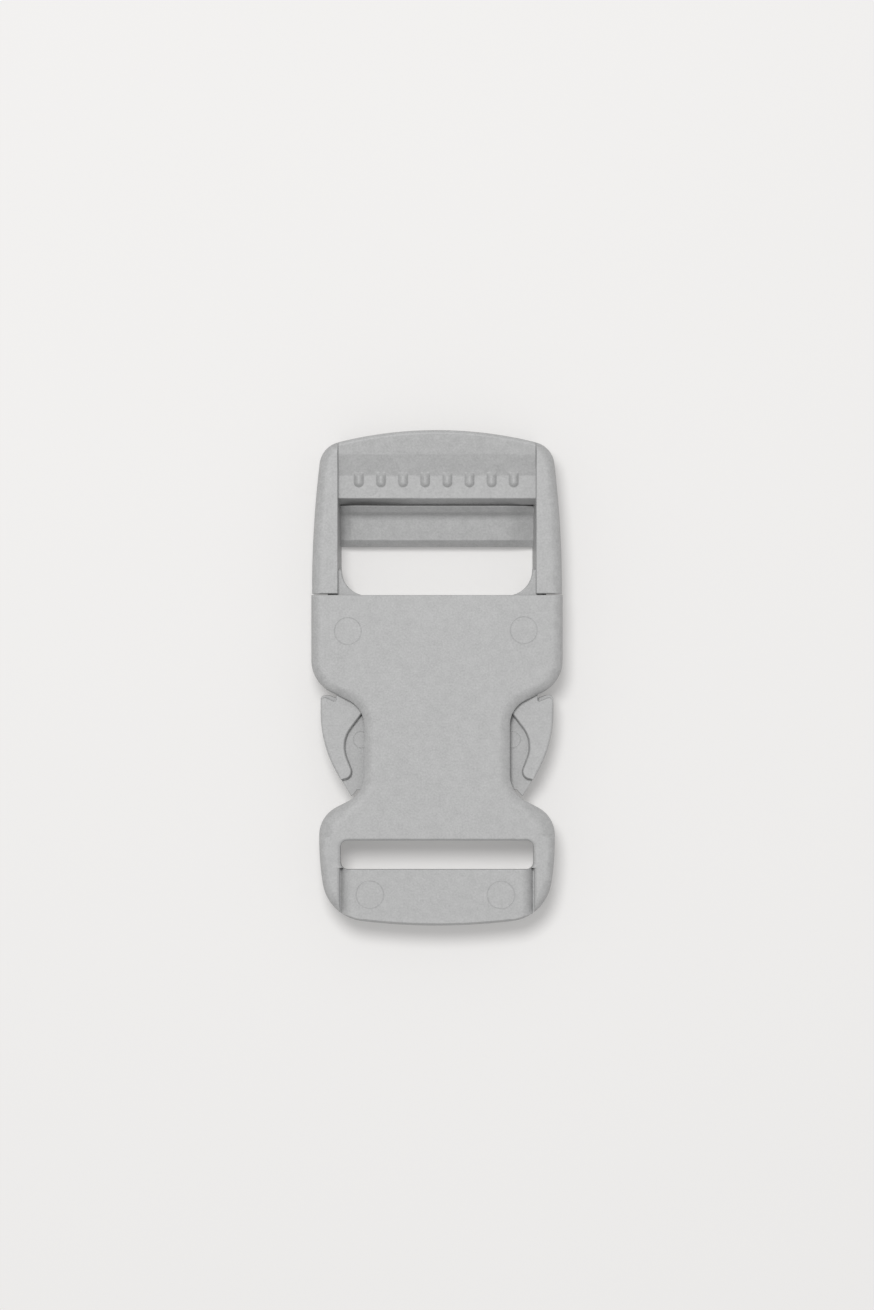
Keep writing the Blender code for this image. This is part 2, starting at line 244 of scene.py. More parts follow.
GUIDE_CORNER = 0.8

# Ejector-pin marks: x, y and radius, and on the lip the bearing of the side that shows
MOUTH_MARKS = [(-12.47, 6.52, 1.88), (12.17, 6.64, 1.88)]
TAIL_MARKS = [(-9.39, -30.4, 1.93), (8.97, -30.45, 1.93)]
FLANGE_MARKS = [(-10.55, -8.7, 1.15), (10.55, -8.7, 1.15)]
LIP_MARKS = [(-9.2, 26.45, 0.95, -0.9), (9.17, 27.2, 0.9, 0.6)]
LIP_MARK_DEPTH = 0.03
MARK_LINE = 0.09
MARK_DEPTH = 0.05

# Plastic: patterns per metre, how much each changes the tone, and the finish
PLUG_TONE = (0.398, 0.399, 0.398)
SOCKET_TONE = (0.400, 0.401, 0.400)
GRAIN_SCALE = 3800.0
MOTTLE_SCALE = 900.0
DRIFT_SCALE = 70.0
GRAIN_TONE = 0.5
MOTTLE_TONE = 0.25
DRIFT_TONE = 0.05
PLASTIC_ROUGHNESS = 0.5
MOTTLE_ROUGHNESS = 0.12
PLASTIC_IOR = 1.48
MOTTLE_RELIEF = 0.6
RELIEF_STRENGTH = 0.6
RELIEF_DEPTH = 0.00004

# Floor sheet, its half size in millimetres
FLOOR_HALF = 4000.0
FLOOR_TONE = (0.60, 0.592, 0.585)
FLOOR_SHADE = 0.985
FLOOR_MOTTLE_SCALE = 12.0
FLOOR_MOTTLE_TONE = 0.02
# painted light: the floor glows of its own, which lifts its shade and the buckle's shadow on it as fill
# light would
FLOOR_PAINTED_GLOW_TONE = (1.0, 0.99, 0.98, 1.0)
FLOOR_PAINTED_GLOW = 0.23
FLOOR_ROUGHNESS = 0.9
FLOOR_SPECULAR = 0.1

# Lamp, tilted from straight above towards a bearing counted from +X, and the fill from all round
LAMP_SIZE = 0.30
LAMP_DISTANCE = 0.9
LAMP_TILT = math.radians(16.0)
LAMP_BEARING = math.radians(111.0)
LAMP_ENERGY = 5.0
FILL_TONE = (1.0, 1.0, 1.0, 1.0)
FILL_STRENGTH = 0.48

# Camera, with its sensor's height in millimetres
CAMERA_Y = 0.0032
CAMERA_HEIGHT = 2.5
VIEW_HEIGHT = 0.1834
SENSOR_HEIGHT = 36.0


# Outlines

def crown(neighbour, apex, slope, rim):
    """The corner on the middle line whose round touches apex, between lines that rise from neighbour."""
    height = abs(neighbour[1]) + slope * neighbour[0]
    radius = (height - abs(apex)) / (1 / math.cos(math.atan(slope)) - 1)
    return (0.0, math.copysign(height, apex), radius, rim)


def both_sides(right_half):
    """A loop of corners from its right half."""
    left_half = [(-corner[0], *corner[1:]) for corner in reversed(right_half) if corner[0] != 0]
    return list(right_half) + left_half


def mirror_to(side, corners):
    """Corners given for the right, carried over to the side asked for."""
    return [(side * corner[0], *corner[1:]) for corner in corners]


def quarter(steps):
    """Even angles from 0 to a right angle."""
    return np.linspace(0, math.pi / 2, steps + 1)


def ramp(value, start, end):
    """0 at start, 1 at end, even between them and level beyond them."""
    return np.clip((value - start) / (end - start), 0, 1)


def flare(place, out, face, size, steps=EDGE_STEPS):
    """A cutter's flare, which leaves a round edge, as corners from a depth of size up to the face.

    At a turn t of a quarter one lies at place + out * size * (1 - cos t) and face - size * (1 - sin t)."""
    corners = []
    for turn in quarter(steps):
        reach = out * size * (1 - math.cos(turn))
        down = size * (1 - math.sin(turn))
        corners.append((place + reach, face - down, 0))
    return corners


def corner_arc(before, corner, after):
    """The arc that rounds one corner: centre + radius * (cos t, sin t), at even steps of t."""
    place = np.array(corner[:2], float)
    radius = corner[2]
    if radius == 0:
        return place[None]
    backward = np.array(before[:2]) - place
    forward = np.array(after[:2]) - place
    backward = backward / np.linalg.norm(backward)
    forward = forward / np.linalg.norm(forward)
    half = math.acos(float(np.clip(backward @ forward, -1, 1))) / 2
    inside = (backward + forward) / np.linalg.norm(backward + forward)
    centre = place + inside * radius / math.sin(half)
    first = place + backward * radius / math.tan(half) - centre
    bend = backward[1] * forward[0] - backward[0] * forward[1]
    turn = math.copysign(math.pi - 2 * half, bend)
    steps = max(3, math.ceil(abs(turn) / ARC_STEP), math.ceil(abs(turn) * radius / PITCH))
    t = math.atan2(first[1], first[0]) + turn * np.linspace(0, 1, steps + 1)
    return centre + radius * np.stack([np.cos(t), np.sin(t)], axis=1)


def divided(rows, pitch):
    """A closed row of points, each stretch divided evenly into parts no longer than the pitch.

    The pitch is one number, or one for each stretch."""
    ahead = np.roll(rows, -1, axis=0)
    length = np.linalg.norm((ahead - rows)[:, :2], axis=1)
    parts = np.maximum(1, np.ceil(length / pitch).astype(int))
    index = np.repeat(np.arange(len(rows)), parts)
    step = np.arange(parts.sum()) - np.repeat(np.cumsum(parts) - parts, parts)
    share = (step / parts[index])[:, None]
    return rows[index] * (1 - share) + ahead[index] * share


def outline(corners, pitch=PITCH):
    """A closed counterclockwise outline, and the width and depth of the rim at each of its points.

    Corners are (x, y, radius, rim width, rim depth). Arcs round them, and straight stretches are divided
    evenly, no longer than the pitch. A corner may leave the rim out, and then has none, or leave out its
    depth, which is then the rim's width, up to RIM_DROP."""
    points = []
    rims = []
    for i, corner in enumerate(corners):
        arc = corner_arc(corners[i - 1], corner, corners[(i + 1) % len(corners)])
        width = corner[3] if len(corner) > 3 else 0.0
        depth = corner[4] if len(corner) > 4 else min(width, RIM_DROP)
        points.append(arc)
        rims.append(np.tile([width, depth], (len(arc), 1)))
    rows = divided(np.column_stack([np.concatenate(points), np.concatenate(rims)]), pitch)
    x, y = rows[:, 0], rows[:, 1]
    if np.sum(x * np.roll(y, -1) - y * np.roll(x, -1)) < 0:
        rows = rows[::-1]
    return rows[:, :2].copy(), rows[:, 2:].copy()


def inward(points):
    """The mitre at each point: the sum of its two edges' inward normals over 1 + their dot product."""
    edge = np.roll(points, -1, axis=0) - points
    edge = edge / np.linalg.norm(edge, axis=1)[:, None]
    normal = np.stack([-edge[:, 1], edge[:, 0]], axis=1)
    before = np.roll(normal, 1, axis=0)
    return (before + normal) / (1 + np.sum(before * normal, axis=1))[:, None]


# Solids

def add_object(name, verts, faces):
    """A mesh from points in millimetres, as an object at the origin."""
    mesh = bpy.data.meshes.new(name)
    mesh.from_pydata((np.asarray(verts) * MM).tolist(), [], faces)
    mesh.validate()
    piece = bpy.data.objects.new(name, mesh)
    bpy.context.scene.collection.objects.link(piece)
    return piece


def lofted(name, rings):
    """A closed skin through rings: quads between neighbouring rings, and a flat face at each end."""
    rings = np.asarray(rings)
    count, around = rings.shape[:2]
    ring, place = np.meshgrid(np.arange(count - 1), np.arange(around), indexing="ij")
    beside = (place + 1) % around
    this, following = ring * around, (ring + 1) * around
    quads = np.stack([this + place, this + beside, following + beside, following + place], axis=-1)
    first = list(range(around))[::-1]
    last = list(range((count - 1) * around, count * around))
    return add_object(name, rings.reshape(-1, 3), quads.reshape(-1, 4).tolist() + [first, last])


def plate(name, corners, low, high, low_rim=0.0, margin=0.0):
    """A plate with rounded rims: rings of its outline, set in over arcs that end flat at the faces.

    The front rim is as wide and deep as each corner says, and turns by a = 2 atan(depth / width), at most
    a right angle: at a turn t short of its end it is set in by width * (1 - sin t / sin a) and lies
    depth * (1 - cos t) / (1 - cos a) below the face. The back rim is round and no wider than low_rim. A
    margin adds a flat ring inside each rim. A plate without rims has one ring at each face."""
    points, rims = outline(corners)
    width, depth = rims.T
    back = np.minimum(width, low_rim)
    whole = np.minimum(2 * np.arctan2(depth + TINY, width + TINY), math.pi / 2)
    turns = quarter(RIM_STEPS if width.max() > 0 else 0)
    stations = [(back * (1 - math.cos(t)), low + back * (1 - math.sin(t))) for t in turns[::-1]]
    for share in np.linspace(1, 0, len(turns)):
        t = whole * share
        inset = width * (1 - np.sin(t) / np.sin(whole))
        drop = depth * (1 - np.cos(t)) / (1 - np.cos(whole))
        stations.append((inset, high - drop))
    if margin:
        stations = [(back + margin, low + 0 * back), *stations, (width + margin, high + 0 * width)]
    mitre = inward(points)
    rings = [np.column_stack([points + mitre * inset[:, None], z]) for inset, z in stations]
    return lofted(name, rings)


def across(name, section, half_width):
    """A bar across the buckle: its side section of (y, z) corners carried along X."""
    points, _ = outline(section, CUTTER_PITCH)
    ones = np.ones(len(points))
    rings = [np.column_stack([x * ones, points]) for x in (-half_width, half_width)]
    return lofted(name, rings)


def along(name, section, low_y, high_y):
    """A bar along the buckle: its section of (x, z) corners carried along Y."""
    points, _ = outline(section, CUTTER_PITCH)
    ones = np.ones(len(points))
    rings = [np.column_stack([points[:, 0], y * ones, points[:, 1]]) for y in (high_y, low_y)]
    return lofted(name, rings)


def ring_groove(name, mark, z):
    """A ring that presses a pin mark's line: x = cx + (r + w cos v) cos u, y = cy + (r + w cos v) sin u and
    height z + w sin v, with the mark's radius r and half its line's width w."""
    x, y, radius = mark
    u = np.linspace(0, 2 * math.pi, RING_STEPS, endpoint=False)[:, None]
    v = np.linspace(0, 2 * math.pi, LINE_STEPS, endpoint=False)[None]
    reach = radius + MARK_LINE * np.cos(v)
    height = z + MARK_LINE * np.sin(v) + 0 * u
    verts = np.stack([x + reach * np.cos(u), y + reach * np.sin(u), height], axis=-1)
    row, column = np.meshgrid(np.arange(RING_STEPS), np.arange(LINE_STEPS), indexing="ij")
    next_row, next_column = (row + 1) % RING_STEPS, (column + 1) % LINE_STEPS
    corners = [(row, column), (next_row, column), (next_row, next_column), (row, next_column)]
    quads = np.stack([at_row * LINE_STEPS + at_column for at_row, at_column in corners], axis=-1)
    return add_object(name, verts.reshape(-1, 3), quads.reshape(-1, 4).tolist())


def combine(piece, other, operation):
    """Joins another solid to a piece, or cuts it away."""
    boolean = piece.modifiers.new(other.name, "BOOLEAN")
    boolean.operation = operation
    boolean.solver = "EXACT"
    boolean.object = other


def press_marks(piece, name, marks, face):
    """Presses the line round each pin mark into a flat face."""
    for i, mark in enumerate(marks):
        combine(piece, ring_groove(f"{name}_{i}", mark, face + MARK_LINE - MARK_DEPTH), "DIFFERENCE")


def settle(piece):
    """Applies the joins and cuts, drops the cutters, and shades the piece smooth but for its crisp edges."""
    others = [modifier.object for modifier in piece.modifiers]
    graph = bpy.context.evaluated_depsgraph_get()
    mesh = bpy.data.meshes.new_from_object(piece.evaluated_get(graph))
    mesh.name = piece.name
    piece.modifiers.clear()
    piece.data = mesh
    for other in others:
        bpy.data.objects.remove(other, do_unlink=True)
    mesh.shade_smooth()
    mesh.set_sharp_from_angle(angle=math.radians(SHARP_ANGLE))
    weigh = piece.modifiers.new("even_shading", "WEIGHTED_NORMAL")
    weigh.keep_sharp = True
    weigh.weight = FACE_WEIGHT


# Socket

def housing():
    """The socket's outer form, which still runs past its mouth."""
    right = [
        (SOCKET_HALF_WIDTH, MOUTH_Y + PAST, 0, SOCKET_RIM),
        SHOULDER,
        WAIST_TOP,
        WAIST_FOOT,
        TAIL_SHOULDER,
        TAIL_SIDE,
        TAIL_CORNER,
        crown(TAIL_CORNER, -HALF_LENGTH, TAIL_SLOPE, TAIL_END_RIM),
    ]
    return plate("socket", both_sides(right), 0.0, THICKNESS, BACK_RIM, FLAT_MARGIN)


def mouth_trim():
    """What lies beyond the mouth, with the rounds of the mouth's two edges."""
    front = flare(MOUTH_Y, -1, THICKNESS, MOUTH_ROUND)[::-1]
    back = [(y, THICKNESS - z, 0) for y, z, _ in front[::-1]]
    section = [
        (MOUTH_Y + PAST * 2, -PAST, 0),
        (MOUTH_Y + PAST * 2, THICKNESS + PAST, 0),
        (MOUTH_Y - MOUTH_ROUND, THICKNESS + PAST, 0),
        *front,
        *back,
        (MOUTH_Y - MOUTH_ROUND, -PAST, 0),
    ]
    return across("mouth_trim", section, SOCKET_HALF_WIDTH + PAST)


def cavity():
    """The space between the plates: a wide mouth, catches for the arms, and windows at the waist."""
    outside = SOCKET_HALF_WIDTH + PAST
    right = [
        (CAVITY_HALF_WIDTH, MOUTH_Y + PAST, 0),
        (CAVITY_HALF_WIDTH, CATCH_RAMP_TOP, CATCH_ROUND),
        (CATCH_HALF_WIDTH, CATCH_RAMP_FOOT, CATCH_ROUND),
        (CATCH_HALF_WIDTH, WINDOW_TOP, 0),
        (outside, WINDOW_TOP, 0),
        (outside, CAVITY_END_Y, 0),
    ]
    return plate("cavity", both_sides(right), CAVITY_LOW, CAVITY_HIGH)


def webbing_slot():
    """The slot's cutter, flared at both faces so that the slot's edges come out round, wider at its ends."""
    right = [
        (SLOT_HALF_WIDTH, SLOT_TOP_Y, SLOT_CORNER),
        (SLOT_HALF_WIDTH, SLOT_TOP_Y - SLOT_HEIGHT, SLOT_CORNER),
    ]
    points, _ = outline(both_sides(right), SLOT_PITCH)
    mitre = inward(points) * [SLOT_END_EDGE / SLOT_EDGE, 1.0]
    front = [(out, z) for out, z, _ in flare(0.0, 1, THICKNESS, SLOT_EDGE)]
    back = [(out, THICKNESS - z) for out, z in front[::-1]]
    stations = [(SLOT_EDGE, -PAST), *back, *front, (SLOT_EDGE, THICKNESS + PAST)]
    rings = [np.column_stack([points - mitre * out, np.full(len(points), z)]) for out, z in stations]
    return lofted("webbing_slot", rings)


def bar_recess():
    """The shallow recess over the tail's bar: flat, with dips at its ends and round upper edges."""
    floor = THICKNESS - RECESS_DEPTH
    right = [
        (RECESS_FLAT_HALF_WIDTH, floor, RECESS_END_ROUND),
        (RECESS_HALF_WIDTH, floor - RECESS_DIP, RECESS_DIP_ROUND),
        *flare(RECESS_HALF_WIDTH, 1, THICKNESS, RECESS_EDGE),
        (RECESS_HALF_WIDTH + RECESS_EDGE, THICKNESS + PAST, 0),
    ]
    top_y = SLOT_TOP_Y - SLOT_HEIGHT + RECESS_LAP
    return along("bar_recess", both_sides(right), -HALF_LENGTH - PAST, top_y)


def make_socket():
    """The socket as one moulding."""
    piece = housing()
    for cutter in (mouth_trim(), cavity(), webbing_slot(), bar_recess()):
        combine(piece, cutter, "DIFFERENCE")
    press_marks(piece, "mouth_mark", MOUTH_MARKS, THICKNESS)
    press_marks(piece, "bar_mark", TAIL_MARKS, THICKNESS - RECESS_DEPTH)
    settle(piece)
    return piece


# Plug

def frame_crown():
    """The corner of the plug's gently bowed end."""
    return crown(FRAME_CORNER, HALF_LENGTH, FRAME_SLOPE, FRAME_END_RIM)


def rail_ends(below):
    """What is cut from the rails below their ends, with the rounds of the ends' two edges."""
    front = flare(RAIL_END_Y, 1, RAIL_HIGH, RAIL_END_ROUND)
    back = [(y, RAIL_HIGH + RAIL_LOW - z, 0) for y, z, _ in front[::-1]]
    section = [
        (below - PAST, -PAST, 0),
        (RAIL_END_Y + RAIL_END_ROUND, -PAST, 0),
        *back,
        *front,
        (RAIL_END_Y + RAIL_END_ROUND, THICKNESS + PAST, 0),
        (below - PAST, THICKNESS + PAST, 0),
    ]
    return across("rail_ends", section, FRAME_SIDE[0] + PAST)


def rail_gap(below):
    """What is cut from between the rails: a space that widens towards the front, with round upper edges."""
    slope = (RAIL_INSIDE_HIGH - RAIL_INSIDE_LOW) / (RAIL_HIGH - RAIL_LOW)
    right = [
        (RAIL_INSIDE_LOW - slope * PAST, RAIL_LOW - PAST, 0),
        *flare(RAIL_INSIDE_HIGH, 1, RAIL_HIGH, RAIL_INSIDE_EDGE, INSIDE_EDGE_STEPS),
        (RAIL_INSIDE_HIGH + RAIL_INSIDE_EDGE, RAIL_HIGH + PAST, 0),
    ]
    return along("rail_gap", both_sides(right), below, HALF_LENGTH + PAST)


def rails():
    """The two side rails, rounded outside, drafted inside and softened at their ends."""
    below = RAIL_END_Y - PAST
    right = [frame_crown(), FRAME_CORNER, FRAME_SIDE, (FRAME_SIDE[0], below, 0, RAIL_RIM)]
    piece = plate("plug", both_sides(right), RAIL_LOW, RAIL_HIGH, BACK_RIM, FLAT_MARGIN)
    combine(piece, rail_ends(below), "DIFFERENCE")
    combine(piece, rail_gap(below), "DIFFERENCE")
    return piece


def lip_section():
    """The lip from the side: a raised margin, a slope down, and a lower flat, as (y, z) points."""
    corners = [
        (LIP_NOSE_Y, LIP_UNDER_EDGE_Z, LIP_NOSE_ROUND),
        (HALF_LENGTH, LIP_LOW, LIP_RIM),
        (HALF_LENGTH, LIP_END_Z, LIP_RIM),
        (LIP_SLOPE_TOP_Y, LIP_HIGH, LIP_SLOPE_TOP_ROUND),
        (LIP_SLOPE_FOOT_Y, LIP_STEP_Z, LIP_SLOPE_FOOT_ROUND),
        (LIP_EDGE_Y, LIP_FRONT_Z, LIP_EDGE_ROUND),
    ]
    points, _ = outline(corners, LIP_PITCH)
    middle = (points + np.roll(points, -1, axis=0)) / 2
    front = (middle[:, 1] > LIP_FRONT_Z - LIP_FINE_BELOW) & (middle[:, 0] < RIB_TOP_Y)
    return divided(points, np.where(front, LIP_FRONT_PITCH, LIP_PITCH))


def rib_height(x, y):
    """The ribs' height: h (1 - (d / w)^2) at a distance d from a rib's middle line, faded at the top."""
    x = x - RIB_SHIFT
    offset = (x / RIB_PITCH + (RIB_COUNT - 1) / 2 + 0.5) % 1.0 - 0.5
    beyond = np.minimum(0, y - (RIB_FOOT_Y + RIB_HALF_WIDTH))
    share = np.hypot(offset * RIB_PITCH, beyond) / RIB_HALF_WIDTH
    cap = RIB_HEIGHT * (1 - np.minimum(share, 1) ** 2)
    inside = np.abs(x) < RIB_COUNT * RIB_PITCH / 2
    return cap * ramp(y, RIB_TOP_Y, RIB_TOP_Y - RIB_FADE) * inside


def mark_depth(x, y):
    """How deep the lip's pin marks lie: D exp(-(d / w)^2) cos t at a distance d from a mark's circle.

    D is the full depth, and the angle t is counted from the mark's bearing, so that only the side that
    faces there shows."""
    depth = 0 * x
    for mark_x, mark_y, radius, bearing in LIP_MARKS:
        away_x, away_y = x - mark_x, y - mark_y
        line = (np.hypot(away_x, away_y) - radius) / MARK_LINE
        facing = np.cos(np.arctan2(away_y, away_x) - bearing)
        depth = depth + LIP_MARK_DEPTH * np.clip(facing, 0, 1) * np.exp(-line**2)
    return depth


def lip():
    """The lip between the rails: its section carried along the bowed end, and the front raised by the ribs.

    A point is (R sin a, y, z). Beyond the slope the end's bow takes R (1 - cos a) off y, and z follows the
    margin's fall. The nose under the front edge reaches lower towards the rails, most of all on the left."""
    radius = frame_crown()[2]
    reach = math.asin(LIP_HALF_WIDTH / radius)
    angles = np.linspace(-reach, reach, int(2 * LIP_HALF_WIDTH / LIP_FRONT_PITCH) + 1)[:, None]
    side_y, side_z = lip_section().T
    share = ramp(side_y, LIP_SLOPE_TOP_Y + LIP_BOW_START, HALF_LENGTH - LIP_RIM)
    bow = radius * (1 - np.cos(angles)) * share
    fall = (LIP_END_Z - LIP_HIGH) / (HALF_LENGTH - LIP_SLOPE_TOP_Y)
    x = radius * np.sin(angles) + 0 * side_y
    y = side_y - bow
    left = NOSE_DROP_LEFT * ramp(-x, NOSE_DROP_START_X, NOSE_LEFT_FULL_X)
    right = NOSE_DROP_RIGHT * ramp(x, NOSE_DROP_START_X, NOSE_RIGHT_FULL_X)
    z = side_z - fall * bow - (left + right) * ramp(y, LIP_EDGE_Y, LIP_NOSE_Y)
    front = (z > LIP_FRONT_Z - LIP_FRONT_BELOW) & (y > LIP_EDGE_Y + LIP_BARE_STRIP)
    z = z + front * (rib_height(x, y) - mark_depth(x, y))
    return lofted("lip", np.stack([x, y, z], axis=-1))


def cross_bar():
    """The bar that the webbing folds over, with a ridge beside the lip and a chamfer towards the base.

    Its side section is carried along X, and dips beside the rails. With s from 0 where a dip starts to 1
    at the rail, the height falls by s^2 / 2b up to a bend at s = b and by s - b / 2 beyond it, divided by
    1 - b / 2 so that the fall is whole at the rail, where BAR_END_SHARE of the height is left."""
    section = [
        (BAR_LOW_Y, BAR_LOW_Z, BAR_UNDER_ROUND),
        (BAR_FOOT_Y, BAR_LOW_Z, BAR_UNDER_ROUND),
        (BAR_FOOT_Y, BAR_FOOT_Z, BAR_ROUND),
        (BAR_HIGH_Y, BAR_FOOT_Z, BAR_ROUND),
        (BAR_HIGH_Y, BAR_RIDGE_TOP_Z, BAR_RIDGE_TOP_ROUND),
        (BAR_RIDGE_Y, BAR_RIDGE_Z, BAR_ROUND),
        (BAR_RIDGE_FOOT_Y, BAR_FLAT_Z, BAR_RIDGE_FOOT_ROUND),
        (BAR_CHAMFER_Y, BAR_CHAMFER_TOP_Z, BAR_ROUND),
        (BAR_LOW_Y, BAR_CHAMFER_Z, BAR_LOW_EDGE_ROUND),
    ]
    points, _ = outline(section, BAR_PITCH)
    side_y, side_z = points.T
    half_width = RAIL_INSIDE_HIGH + LAP
    x = np.linspace(-half_width, half_width, BAR_STATIONS)[:, None]
    start = np.where(x < 0, -BAR_LEFT_DIP_X, BAR_RIGHT_DIP_X)
    share = ramp(abs(x), start, RAIL_INSIDE_HIGH)
    bend = BAR_DIP_BEND
    fall = np.where(share < bend, share**2 / (2 * bend), share - bend / 2) / (1 - bend / 2)
    height = 1 - (1 - BAR_END_SHARE) * fall
    z = BAR_LOW_Z + (side_z - BAR_LOW_Z) * height
    return lofted("cross_bar", np.stack([x + 0 * z, side_y + 0 * z, z], axis=-1))


def base():
    """The base between the rails' ends, with rounded inner corners, which enters the socket's mouth."""
    right = [
        (BASE_WEB_HALF_WIDTH, BASE_HIGH_Y, BASE_CORNER, BASE_RIM),
        (BASE_WEB_HALF_WIDTH, BASE_WEB_Y, 0, BASE_RIM),
        (RAIL_INSIDE_HIGH + LAP, BASE_WEB_Y, 0, BASE_RIM),
        (BASE_HALF_WIDTH, RAIL_END_Y + LAP, 0, BASE_RIM),
        (BASE_HALF_WIDTH, BASE_LOW_Y, BASE_END_CORNER, BASE_RIM),
    ]
    return plate("base", both_sides(right), TONGUE_LOW + STEP_BACK, TONGUE_HIGH - STEP_BACK, TONGUE_BACK_RIM)


def arm(side, tag):
    """A spring arm with a thick finger pad, whose inner edge is S-shaped."""
    corners = [
        (NECK_INSIDE, BASE_LOW_Y + LAP, 0, NECK_RIM),
        (NECK_OUTSIDE, BASE_LOW_Y + LAP, 0, NECK_RIM),
        NECK_FOOT,
        PAD_SHOULDER,
        PAD_SIDE,
        PAD_POINT,
        PAD_TOE,
        PAD_HOLLOW,
        PAD_HEEL,
        NECK_INNER_FOOT,
    ]
    return plate("arm_" + tag, mirror_to(side, corners), TONGUE_LOW, TONGUE_HIGH, TONGUE_BACK_RIM)


def beside_tail(y):
    """The flange's corner at y, on the arc that runs a slit away from the foot of the socket's waist."""
    radius = WAIST_FOOT[2]
    turn = math.atan2(TAIL_SHOULDER[0] - WAIST_FOOT[0], WAIST_FOOT[1] - TAIL_SHOULDER[1])
    centre_y = WAIST_FOOT[1] + radius * math.tan(turn / 2)
    reach = radius - SLIT
    return (WAIST_HALF_WIDTH + radius - math.sqrt(reach**2 - (y - centre_y) ** 2), y, 0, FLANGE_RIM)


def flange(side, tag):
    """The thinner flange round the pad, which guides the arm between the plates and ends beside the tail."""
    corners = [
        FLANGE_START,
        FLANGE_SHOULDER,
        (*PAD_SHOULDER[:3], FLANGE_SIDE_RIM),
        (*PAD_SIDE[:3], FLANGE_SIDE_RIM),
        beside_tail(FLANGE_POINT_Y),
        beside_tail((FLANGE_POINT_Y + FLANGE_END_Y) / 2),
        beside_tail(FLANGE_END_Y),
        FLANGE_TOE,
        FLANGE_HEEL,
        FLANGE_ROOT,
    ]
    return plate("flange_" + tag, mirror_to(side, corners), FLANGE_LOW, FLANGE_HIGH, FLANGE_RIM)


def guide():
    """The stiff guide between the arms."""
    right = [(GUIDE_HALF_WIDTH, BASE_LOW_Y + LAP, 0), (GUIDE_HALF_WIDTH, GUIDE_END_Y, GUIDE_CORNER)]
    return plate("guide", both_sides(right), TONGUE_LOW + 2 * STEP_BACK, TONGUE_HIGH - 2 * STEP_BACK)


def make_plug():
    """The plug as one moulding."""
    piece = rails()
    for part in (lip(), cross_bar(), base(), guide()):
        combine(piece, part, "UNION")
    for side, tag in ((1, "right"), (-1, "left")):
        combine(piece, arm(side, tag), "UNION")
        combine(piece, flange(side, tag), "UNION")
    press_marks(piece, "flange_mark", FLANGE_MARKS, FLANGE_HIGH)
    settle(piece)
    return piece


# Plastic

class Term:
    """A value in a shader graph. Arithmetic on it adds Math nodes."""

    def __init__(self, graph, socket):
        self.graph = graph
        self.socket = socket

    def __add__(self, other):
        return self.graph.math("ADD", self, other)

    __radd__ = __add__

    def __mul__(self, other):
        return self.graph.math("MULTIPLY", self, other)

    __rmul__ = __mul__

    def __sub__(self, other):
        return self.graph.math("SUBTRACT", self, other)

    def __rsub__(self, other):
        return self.graph.math("SUBTRACT", other, self)


class Graph:
    """The node graph of one material."""

    def __init__(self, name):
        self.material = bpy.data.materials.new(name)
        self.material.use_nodes = True
        self.tree = self.material.node_tree
        self.shader = self.tree.nodes["Principled BSDF"]

    def feed(self, socket, value):
        """Links a term to a socket, or sets the socket's own value."""
        if isinstance(value, Term):
            self.tree.links.new(value.socket, socket)
        else:
            socket.default_value = value

    def add(self, kind, settings=None, inputs=None, output=0):
        """A node of a type, with its settings, then the values or links of its sockets."""
        node = self.tree.nodes.new(kind)
        for key, value in (settings or {}).items():
            setattr(node, key, value)
        for key, value in (inputs or {}).items():
            self.feed(node.inputs[key], value)
        return Term(self, node.outputs[output])

    def math(self, operation, first, second):
        """One step of arithmetic on values."""
        return self.add("ShaderNodeMath", {"operation": operation}, {0: first, 1: second})

    def place(self):
        """The point's place on the object, in metres."""
        return self.add("ShaderNodeTexCoord", output="Object")

    def noise(self, place, scale, detail=2.0, roughness=0.5):
        """Cloudy values about a half, with scale as the number of cells to a metre."""
        inputs = {"Vector": place, "Scale": scale, "Detail": detail, "Roughness": roughness}
        return self.add("ShaderNodeTexNoise", inputs=inputs)

    def shaded(self, tone, shade):
        """A colour made lighter or darker by a value."""
        return self.add("ShaderNodeVectorMath", {"operation": "SCALE"}, {0: tone, "Scale": shade})

    def finish(self, **surface):
        """Feeds the surface shader's sockets, named with low lines for spaces, and gives the material."""
        for key, value in surface.items():
            self.feed(self.shader.inputs[key.replace("_", " ")], value)
        return self.material


def moulded_plastic(name, tone):
    """Matt grey plastic from an etched mould: a fine grain, a faint mottle and slow changes of tone."""
    graph = Graph(name)
    place = graph.place()
    grain = graph.noise(place, GRAIN_SCALE, detail=3.0, roughness=0.6)
    mottle = graph.noise(place, MOTTLE_SCALE)
    drift = graph.noise(place, DRIFT_SCALE)
    shade = 1.0 + GRAIN_TONE * (grain - 0.5) + MOTTLE_TONE * (mottle - 0.5) + DRIFT_TONE * (drift - 0.5)
    relief = {
        "Strength": RELIEF_STRENGTH,
        "Distance": RELIEF_DEPTH,
        "Height": grain + MOTTLE_RELIEF * mottle,
    }
    return graph.finish(
        Base_Color=graph.shaded(tone, shade),
        Roughness=PLASTIC_ROUGHNESS + MOTTLE_ROUGHNESS * (mottle - 0.5),
        IOR=PLASTIC_IOR,
        Normal=graph.add("ShaderNodeBump", inputs=relief),
    )


# Studio

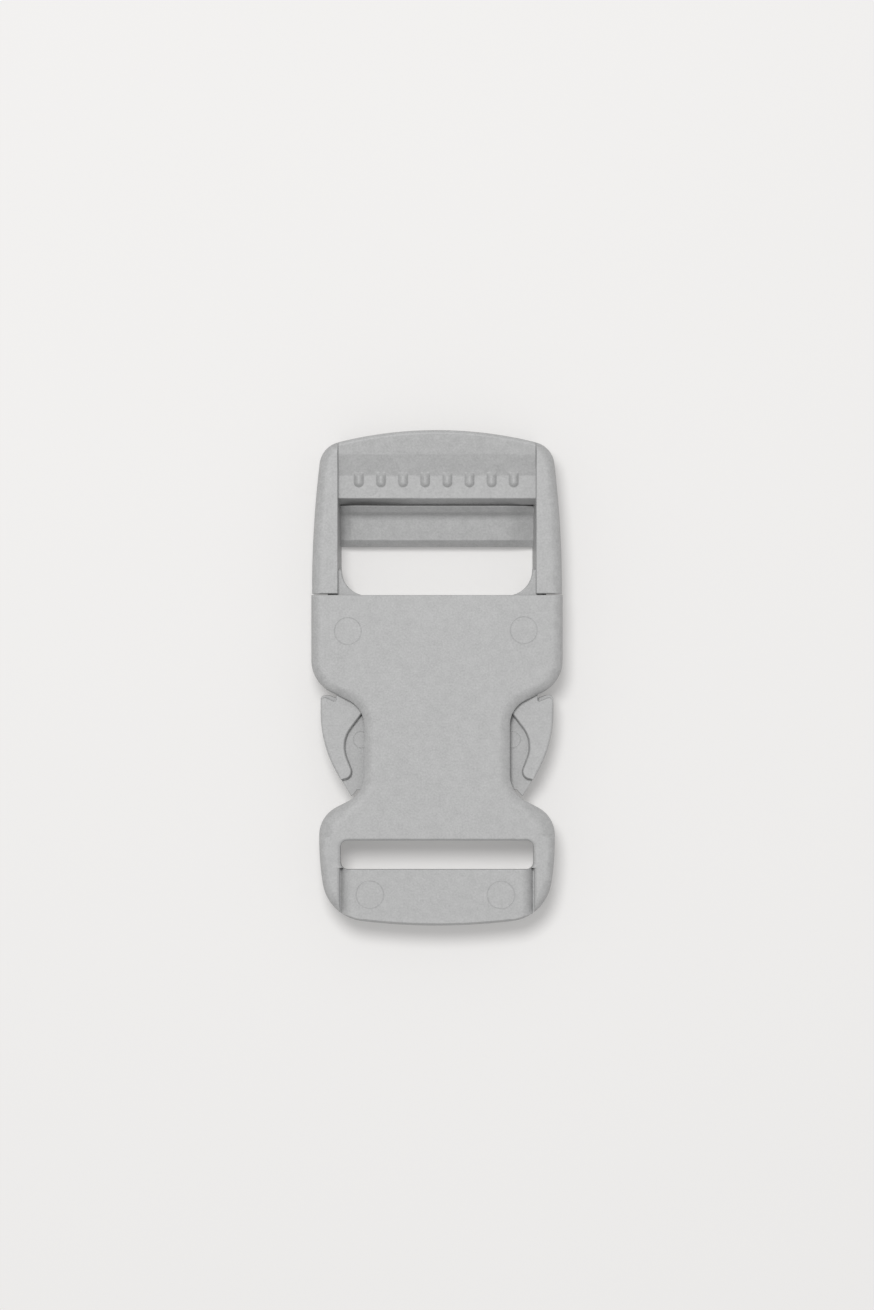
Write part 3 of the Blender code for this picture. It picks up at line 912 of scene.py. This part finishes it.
def floor_paper():
    """Pale paper, faintly uneven in tone, with a painted glow of its own that lifts its shade and the
    buckle's shadow on it.
    """
    graph = Graph("floor_paper")
    shade = FLOOR_SHADE + FLOOR_MOTTLE_TONE * graph.noise(graph.place(), FLOOR_MOTTLE_SCALE)
    return graph.finish(
        Base_Color=graph.shaded(FLOOR_TONE, shade),
        # painted light: this glow lightens the floor's shade and the buckle's shadow on it
        Emission_Color=FLOOR_PAINTED_GLOW_TONE,
        Emission_Strength=FLOOR_PAINTED_GLOW,
        Roughness=FLOOR_ROUGHNESS,
        Specular_IOR_Level=FLOOR_SPECULAR,
    )


def pale_floor():
    """The pale sheet that the buckle lies on."""
    corners = [(FLOOR_HALF * x, FLOOR_HALF * y, 0) for x, y in ((-1, -1), (1, -1), (1, 1), (-1, 1))]
    floor = add_object("floor", corners, [[0, 1, 2, 3]])
    floor.data.materials.append(floor_paper())


def soft_light():
    """A round lamp nearly above the buckle, and an even fill from all round."""
    data = bpy.data.lights.new("lamp_above", "AREA")
    data.shape = "DISK"
    data.size = LAMP_SIZE
    data.energy = LAMP_ENERGY
    lamp = bpy.data.objects.new("lamp_above", data)
    side = math.sin(LAMP_TILT)
    towards = Vector((side * math.cos(LAMP_BEARING), side * math.sin(LAMP_BEARING), math.cos(LAMP_TILT)))
    lamp.location = towards * LAMP_DISTANCE
    lamp.rotation_euler = (-towards).to_track_quat("-Z", "Y").to_euler()
    bpy.context.scene.collection.objects.link(lamp)
    world = bpy.data.worlds.new("studio")
    world.use_nodes = True
    fill = world.node_tree.nodes["Background"].inputs
    fill["Color"].default_value = FILL_TONE
    fill["Strength"].default_value = FILL_STRENGTH
    bpy.context.scene.world = world
    bpy.context.scene.view_settings.view_transform = "Standard"


def camera_above():
    """A long lens straight above the buckle, which sees VIEW_HEIGHT at the level of the buckle's front."""
    data = bpy.data.cameras.new("camera")
    data.sensor_fit = "VERTICAL"
    data.sensor_height = SENSOR_HEIGHT
    data.lens = SENSOR_HEIGHT * (CAMERA_HEIGHT - THICKNESS * MM) / VIEW_HEIGHT
    camera = bpy.data.objects.new("camera", data)
    camera.location = (0.0, CAMERA_Y, CAMERA_HEIGHT)
    bpy.context.scene.collection.objects.link(camera)
    bpy.context.scene.camera = camera


camera_above()
soft_light()
pale_floor()
for make, node, tone in ((make_plug, "plug", PLUG_TONE), (make_socket, "socket", SOCKET_TONE)):
    piece = make()
    piece.name = node + "_moulding"
    piece.data.materials.clear()
    piece.data.materials.append(moulded_plastic(node + "_grain", tone))
    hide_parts(node)
    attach(piece, "root")
